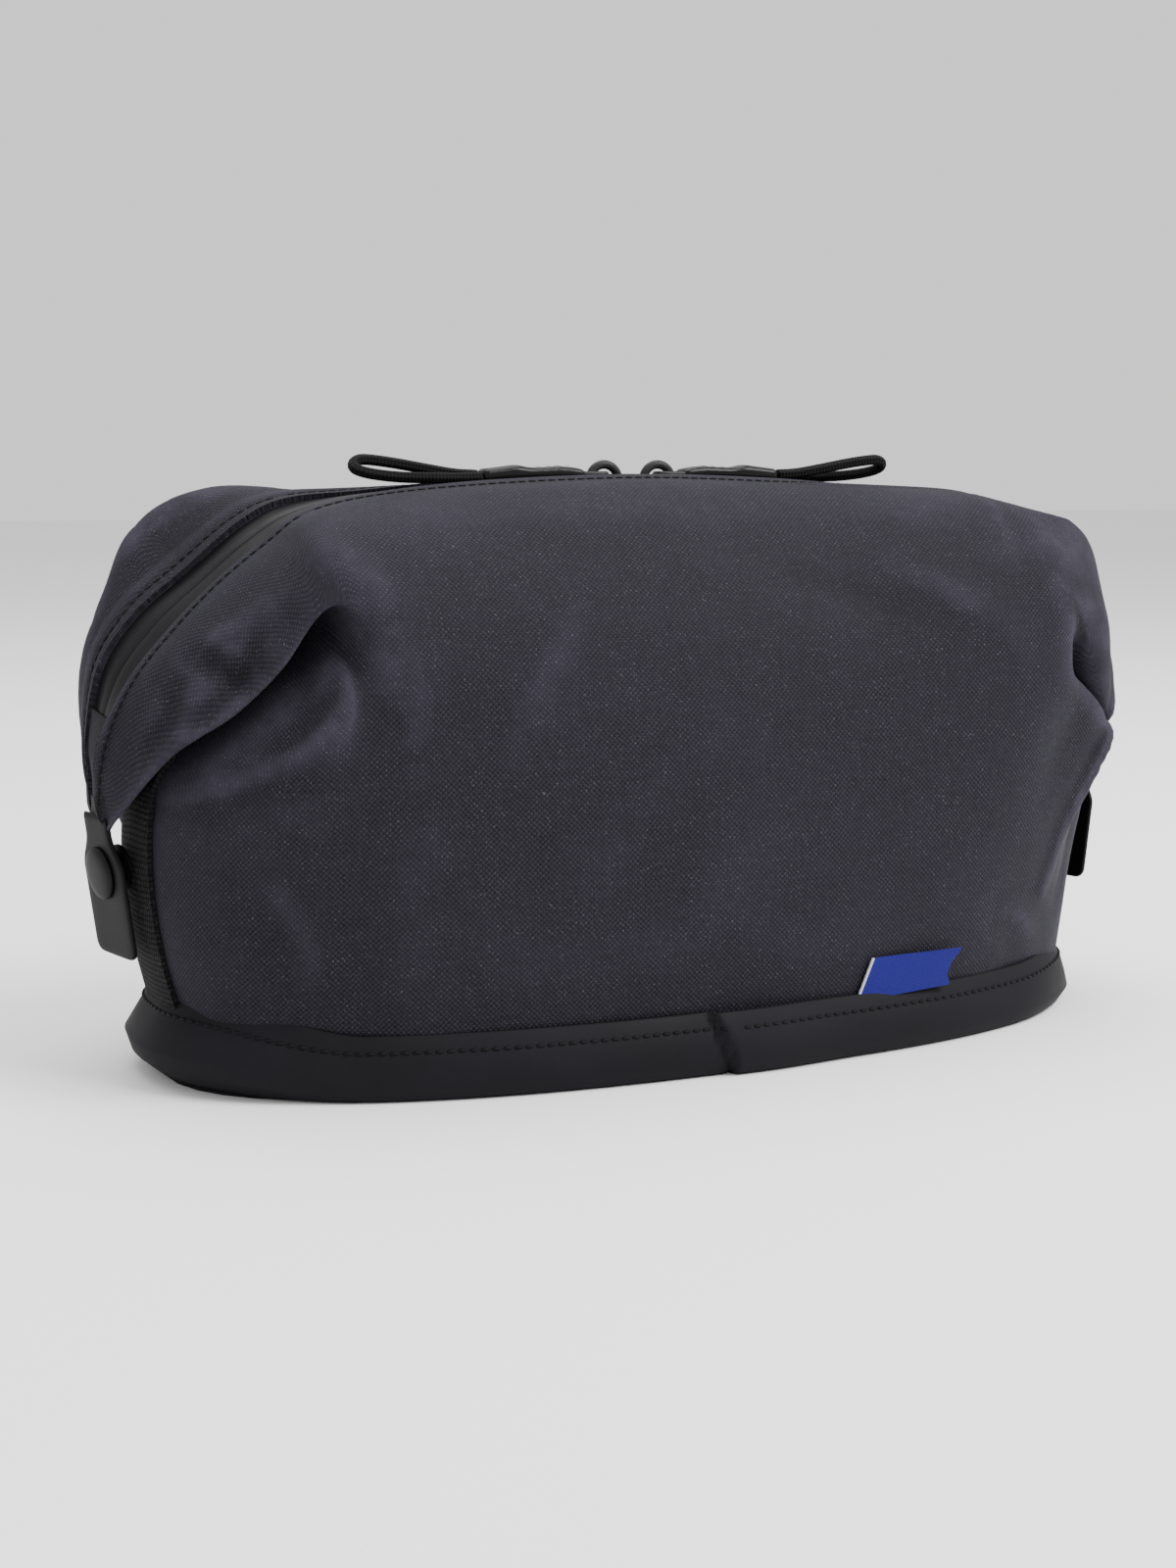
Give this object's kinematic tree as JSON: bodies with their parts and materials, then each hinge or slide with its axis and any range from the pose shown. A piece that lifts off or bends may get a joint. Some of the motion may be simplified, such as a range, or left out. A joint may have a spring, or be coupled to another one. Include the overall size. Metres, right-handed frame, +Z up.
{
  "type": "shaving kit bag",
  "caption": "Zip-top canvas wash bag on a coated oval base, with end wings that fold down and snap to the ends.",
  "frame": {"origin": "middle of the base, on the surface that the bag stands on", "axes": "+X along the bag to its right end, +Y to the back, +Z up; the front faces -Y"},
  "size_m": [0.3104, 0.1258, 0.1625],
  "materials": {
    "canvas": "charcoal waxed plain-weave canvas",
    "coated_base": "black coated cloth, smooth and matte",
    "coated_tab": "black coated tab, smooth",
    "lining": "grey coated nylon",
    "webbing": "black woven polyester",
    "zip": "coated water-resistant zip tape and nylon coil",
    "hardware": "black painted metal, satin",
    "grip": "moulded black rubber, satin",
    "board": "stiffening board",
    "label": "blue woven ribbon with a thin white edge"
  },
  "bodies": {
    "bag": {"base_panel": "coated_base", "base_board": "board", "base_band": "coated_base", "front_panel": "canvas", "back_panel": "canvas", "lining": "lining", "zip_tape_front": "zip", "zip_tape_back": "zip", "zip_coil_front": "zip", "zip_coil_back": "zip", "side_label": "label", "end_webbing_left": "webbing", "end_webbing_right": "webbing", "snap_stud_left": "hardware", "snap_stud_right": "hardware"},
    "slider_left": {"slider_left": "hardware"},
    "pull_left": {"pull_eye_left": "grip", "pull_grip_left": "grip", "pull_loop_left": "webbing"},
    "wing_left": {"wing_front_left": "canvas", "wing_back_left": "canvas", "wing_zip_left": "zip", "zip_garage_left": "canvas"},
    "tab_left": {"snap_tab_left": "coated_tab", "snap_cap_left": "hardware", "snap_socket_left": "hardware"},
    "slider_right": {"slider_right": "hardware"},
    "pull_right": {"pull_eye_right": "grip", "pull_grip_right": "grip", "pull_loop_right": "webbing"},
    "wing_right": {"wing_front_right": "canvas", "wing_back_right": "canvas", "wing_zip_right": "zip", "zip_garage_right": "canvas"},
    "tab_right": {"snap_tab_right": "coated_tab", "snap_cap_right": "hardware", "snap_socket_right": "hardware"}
  },
  "joints": [
    {"name": "slider_left_slide", "type": "slide", "parent": "bag", "child": "slider_left", "axis": [-1, 0, 0], "range_m": [0, 0.06]},
    {"name": "pull_left_hinge", "type": "hinge", "parent": "slider_left", "child": "pull_left", "pos_m": [-0.0083, 0, 0.157], "axis": [0, 1, 0], "range_deg": [0, 90]},
    {"name": "wing_left_hinge", "type": "hinge", "parent": "bag", "child": "wing_left", "pos_m": [-0.098, 0, 0.156], "axis": [0, 1, 0], "range_deg": [0, 40]},
    {"name": "tab_left_hinge", "type": "hinge", "parent": "wing_left", "child": "tab_left", "pos_m": [-0.1528, 0, 0.0695], "axis": [-0.2079, 0.9781, 0], "range_deg": [0, 90]},
    {"name": "slider_right_slide", "type": "slide", "parent": "bag", "child": "slider_right", "axis": [1, 0, 0], "range_m": [0, 0.06]},
    {"name": "pull_right_hinge", "type": "hinge", "parent": "slider_right", "child": "pull_right", "pos_m": [0.0083, 0, 0.157], "axis": [0, -1, 0], "range_deg": [0, 90]},
    {"name": "wing_right_hinge", "type": "hinge", "parent": "bag", "child": "wing_right", "pos_m": [0.098, 0, 0.156], "axis": [0, -1, 0], "range_deg": [0, 40]},
    {"name": "tab_right_hinge", "type": "hinge", "parent": "wing_right", "child": "tab_right", "pos_m": [0.1528, 0, 0.0695], "axis": [0.2079, -0.9781, 0], "range_deg": [0, 90]}
  ]
}
